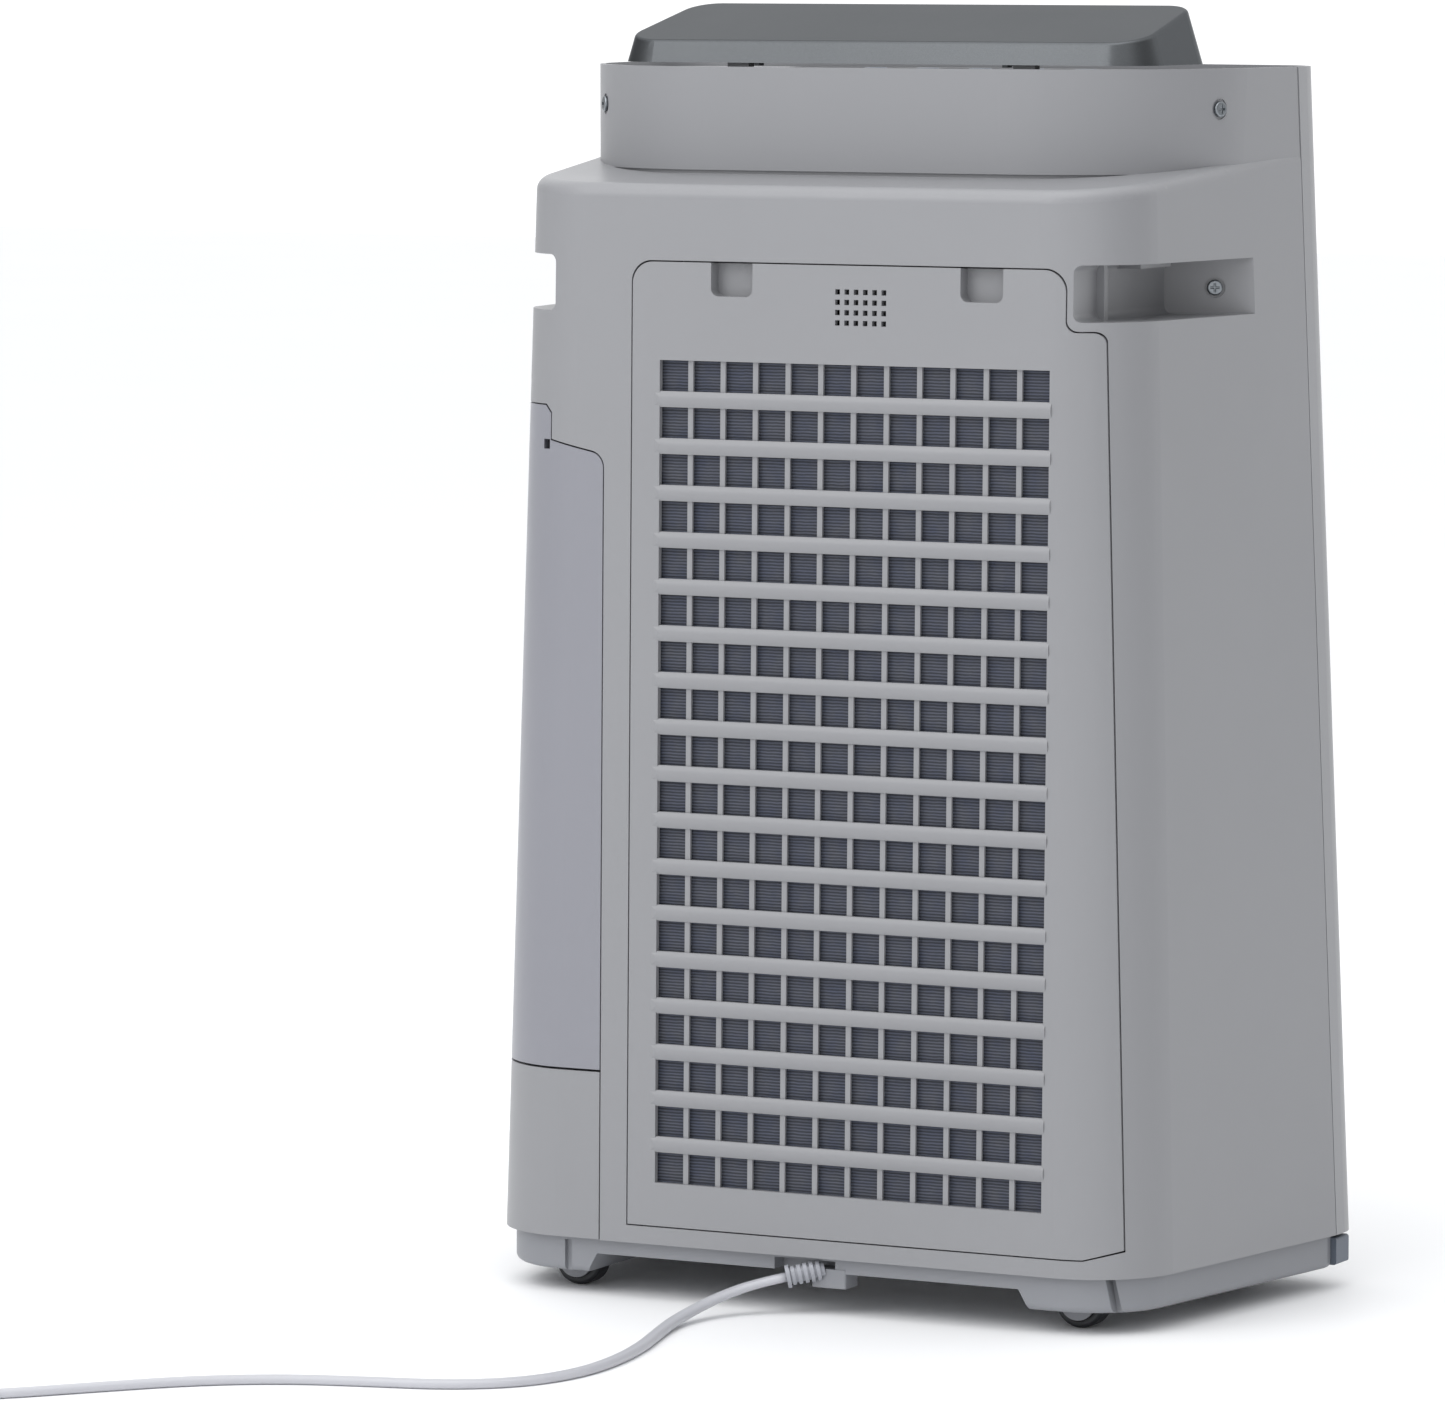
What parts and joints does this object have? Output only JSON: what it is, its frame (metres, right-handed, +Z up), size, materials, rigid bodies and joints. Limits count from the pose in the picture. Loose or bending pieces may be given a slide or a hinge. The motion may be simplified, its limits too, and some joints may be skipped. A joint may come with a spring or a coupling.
{
  "type": "humidifying air purifier",
  "caption": "Tapered upright air cleaner and humidifier with rear intake grille, side water tank, hinged top louvre, castors and power cord.",
  "frame": {"origin": "on the floor under the middle of the casing", "axes": "+Z up, front faces -Y, water tank on the +X side"},
  "size_m": [0.5995, 0.674, 0.6505],
  "materials": {
    "casing": "satin moulded grey",
    "casing_lower": "satin bluish grey",
    "silver_flap": "silver metallic paint, satin",
    "white_plastic": "moulded white",
    "dark_plastic": "moulded black",
    "slate_plastic": "moulded slate grey",
    "clear_tank": "satin grey",
    "net": "fine woven dust net",
    "carbon": "charcoal felt",
    "hepa": "pleated filter paper",
    "evaporator": "open honeycomb pad",
    "steel": "zinc plated",
    "rubber": "tyre black",
    "seal": "silicone",
    "board": "green laminate",
    "lens": "smoked clear",
    "cord": "pale grey vinyl"
  },
  "bodies": {
    "cabinet": {"rear_cabinet": "casing", "cabinet_screws": "steel", "front_panel": "casing", "base": "casing_lower", "castor_axles": "steel", "carbon_filter": "carbon", "hepa_frame": "white_plastic", "hepa_pleats": "hepa", "filter_frame": "white_plastic", "wheel_motor": "steel", "fan_motor": "steel", "scroll_housing": "white_plastic", "outlet_duct": "white_plastic", "ioniser": "dark_plastic", "louvre_motor": "dark_plastic", "top_cover": "casing", "outlet_grille": "dark_plastic", "control_panel": "dark_plastic", "display_lens": "lens", "control_board": "board", "power_board": "board", "odour_sensor": "dark_plastic", "strain_relief": "cord", "power_cord": "cord", "cord_coil": "cord", "power_plug": "cord"},
    "louvre": {"louvre": "silver_flap", "louvre_pins": "silver_flap"},
    "fan": {"fan_wheel": "dark_plastic", "fan_nut": "steel"},
    "tray": {"humidifier_tray": "casing", "float_pin": "white_plastic"},
    "tank": {"water_tank": "clear_tank", "tank_grip": "white_plastic", "tank_cap": "white_plastic", "cap_seal": "seal"},
    "valve": {"valve_pin": "white_plastic"},
    "wheel": {"wheel_frame": "white_plastic", "wheel_media": "evaporator"},
    "pinion": {"drive_pinion": "white_plastic"},
    "float": {"float": "white_plastic"},
    "back_panel": {"rear_panel": "casing", "prefilter_mesh": "net"},
    "stopper_right": {"stopper_right": "slate_plastic"},
    "stopper_left": {"stopper_left": "slate_plastic"},
    "button_1": {"button_1": "slate_plastic"},
    "button_2": {"button_2": "slate_plastic"},
    "button_3": {"button_3": "slate_plastic"},
    "button_4": {"button_4": "slate_plastic"},
    "button_5": {"button_5": "slate_plastic"},
    "castor_rear_right": {"castor_rear_right": "rubber"},
    "castor_rear_left": {"castor_rear_left": "rubber"},
    "castor_front_right": {"castor_front_right": "rubber"},
    "castor_front_left": {"castor_front_left": "rubber"}
  },
  "joints": [
    {"name": "louvre_hinge", "type": "hinge", "parent": "cabinet", "child": "louvre", "pos_m": [0, 0.03, 0.623], "axis": [-1, 0, 0], "range_deg": [-13, 34]},
    {"name": "fan_spin", "type": "hinge", "parent": "cabinet", "child": "fan", "pos_m": [-0.008, -0.06, 0.3], "axis": [0, 1, 0], "continuous": true},
    {"name": "rear_panel_hinge", "type": "hinge", "parent": "cabinet", "child": "back_panel", "pos_m": [0, 0.1192, 0.0384], "axis": [-1, 0, 0], "range_deg": [0, 35]},
    {"name": "tray_slide", "type": "slide", "parent": "cabinet", "child": "tray", "axis": [1, 0, 0], "range_m": [0, 0.3]},
    {"name": "tank_slide", "type": "slide", "parent": "tray", "child": "tank", "axis": [1, 0, 0], "range_m": [0, 0.15]},
    {"name": "valve_lift", "type": "slide", "parent": "tank", "child": "valve", "axis": [0, 0, 1], "range_m": [0, 0.003], "stiffness_N_per_m": 60},
    {"name": "wheel_spin", "type": "hinge", "parent": "tray", "child": "wheel", "pos_m": [-0.014, 0.034, 0.136], "axis": [0, 1, 0], "continuous": true},
    {"name": "pinion_spin", "type": "hinge", "parent": "cabinet", "child": "pinion", "pos_m": [-0.10731, 0.0255, 0.18987], "axis": [0, 1, 0], "continuous": true},
    {"name": "float_hinge", "type": "hinge", "parent": "tray", "child": "float", "pos_m": [0.103, 0.002, 0.05], "axis": [0, 1, 0], "range_deg": [0, 8]},
    {"name": "button_1_press", "type": "slide", "parent": "cabinet", "child": "button_1", "axis": [0, 0, -1], "range_m": [0, 0.0008], "stiffness_N_per_m": 400, "springref_m": -0.0004},
    {"name": "button_2_press", "type": "slide", "parent": "cabinet", "child": "button_2", "axis": [0, 0, -1], "range_m": [0, 0.0008], "stiffness_N_per_m": 400, "springref_m": -0.0004},
    {"name": "button_3_press", "type": "slide", "parent": "cabinet", "child": "button_3", "axis": [0, 0, -1], "range_m": [0, 0.0008], "stiffness_N_per_m": 400, "springref_m": -0.0004},
    {"name": "button_4_press", "type": "slide", "parent": "cabinet", "child": "button_4", "axis": [0, 0, -1], "range_m": [0, 0.0008], "stiffness_N_per_m": 400, "springref_m": -0.0004},
    {"name": "button_5_press", "type": "slide", "parent": "cabinet", "child": "button_5", "axis": [0, 0, -1], "range_m": [0, 0.0008], "stiffness_N_per_m": 400, "springref_m": -0.0004},
    {"name": "castor_rear_right_roll", "type": "hinge", "parent": "cabinet", "child": "castor_rear_right", "pos_m": [-0.141, 0.086, 0.013], "axis": [0, 1, 0], "continuous": true},
    {"name": "castor_rear_left_roll", "type": "hinge", "parent": "cabinet", "child": "castor_rear_left", "pos_m": [0.141, 0.086, 0.013], "axis": [0, 1, 0], "continuous": true},
    {"name": "castor_front_right_roll", "type": "hinge", "parent": "cabinet", "child": "castor_front_right", "pos_m": [-0.141, -0.086, 0.013], "axis": [0, 1, 0], "continuous": true},
    {"name": "castor_front_left_roll", "type": "hinge", "parent": "cabinet", "child": "castor_front_left", "pos_m": [0.141, -0.086, 0.013], "axis": [0, 1, 0], "continuous": true},
    {"name": "stopper_right_hinge", "type": "hinge", "parent": "cabinet", "child": "stopper_right", "pos_m": [-0.196, -0.08, 0.021], "axis": [0, -1, 0], "range_deg": [0, 12]},
    {"name": "stopper_left_hinge", "type": "hinge", "parent": "cabinet", "child": "stopper_left", "pos_m": [0.196, -0.08, 0.021], "axis": [0, 1, 0], "range_deg": [0, 12]}
  ],
  "couplings": [
    {"joint": "pinion_spin", "follows": "wheel_spin", "ratio": -5.1429}
  ]
}
